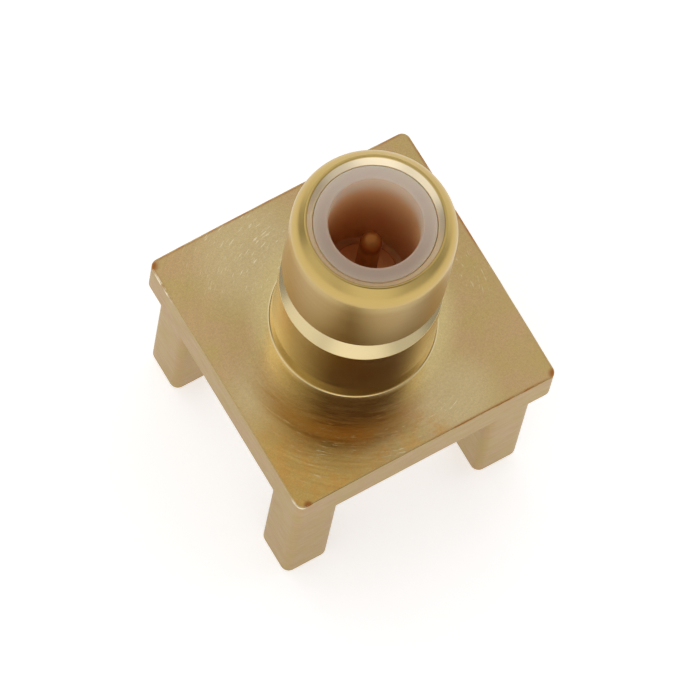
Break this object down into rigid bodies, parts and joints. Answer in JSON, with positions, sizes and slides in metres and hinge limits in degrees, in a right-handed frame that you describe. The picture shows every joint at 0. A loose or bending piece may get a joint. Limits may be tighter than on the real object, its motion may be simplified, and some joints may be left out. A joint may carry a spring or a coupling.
{
  "type": "circuit board coaxial jack",
  "caption": "Straight push-fit coaxial jack for a circuit board: square plate with legs, grooved barrel, white insulator and centre pin.",
  "frame": {"origin": "centre of the plate's underside, on the plane of the board's top face, on the barrel's axis", "axes": "+Z along the barrel, away from the board; X and Y along the plate's sides"},
  "size_m": [0.0068, 0.0068, 0.0115],
  "materials": {
    "gold_plated_brass": "gold plate, brushed on the plate's top and turned on the barrel",
    "ptfe": "plain turned white plastic",
    "gold_plated_contact": "gold plate, smooth"
  },
  "bodies": {
    "root": {"body": "gold_plated_brass", "insulator": "ptfe", "centre_contact": "gold_plated_contact"}
  },
  "joints": []
}
